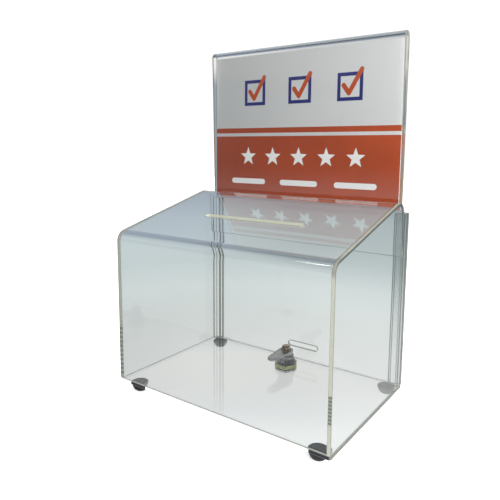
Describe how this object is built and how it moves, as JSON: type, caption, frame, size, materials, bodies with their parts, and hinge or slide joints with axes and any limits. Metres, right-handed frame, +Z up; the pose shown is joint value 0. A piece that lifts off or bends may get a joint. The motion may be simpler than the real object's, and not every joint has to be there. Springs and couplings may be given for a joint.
{
  "type": "ballot box",
  "caption": "Clear acrylic ballot box with a sloping slotted top, a lift-out back panel that ends in a folded card sleeve, and a cam lock through the floor.",
  "frame": {"origin": "middle of the footprint, on the surface that the feet stand on", "axes": "+X to the right as seen from the front, +Y from front to back, +Z up"},
  "size_m": [0.225, 0.1456, 0.3312],
  "materials": {
    "clear_acrylic": "polished",
    "printed_card": "satin print",
    "black_rubber": "matt",
    "nickel_plate": "nickel plated",
    "zinc_yellow": "yellow zinc plated",
    "bronzed_steel": "bronzed",
    "plug_brass": "turned",
    "spring_steel": "bright"
  },
  "bodies": {
    "box": {"front_and_top_sheet": "clear_acrylic", "left_side_panel": "clear_acrylic", "right_side_panel": "clear_acrylic", "floor_panel": "clear_acrylic", "left_front_guide": "clear_acrylic", "left_rear_guide": "clear_acrylic", "right_front_guide": "clear_acrylic", "right_rear_guide": "clear_acrylic", "lock_housing": "nickel_plate", "lock_nut": "zinc_yellow", "front_left_foot": "black_rubber", "front_right_foot": "black_rubber", "rear_left_foot": "black_rubber", "rear_right_foot": "black_rubber"},
    "back_panel": {"sliding_back_panel": "clear_acrylic"},
    "card": {"sign_card": "printed_card"},
    "lock_core": {"lock_plug": "plug_brass", "lock_wafers": "plug_brass", "wafer_springs": "spring_steel", "stop_washer": "nickel_plate", "lock_cam": "nickel_plate", "cam_washer": "nickel_plate", "cam_screw": "bronzed_steel"}
  },
  "joints": [
    {"name": "panel_lift", "type": "slide", "parent": "box", "child": "back_panel", "axis": [0, 0, 1], "range_m": [0, 0.163]},
    {"name": "card_slide", "type": "slide", "parent": "back_panel", "child": "card", "axis": [1, 0, 0], "range_m": [-0.214, 0.214]},
    {"name": "lock_turn", "type": "hinge", "parent": "box", "child": "lock_core", "pos_m": [0.0014, 0.0456, 0.025], "axis": [0, 0, 1], "range_deg": [0, 180]}
  ]
}
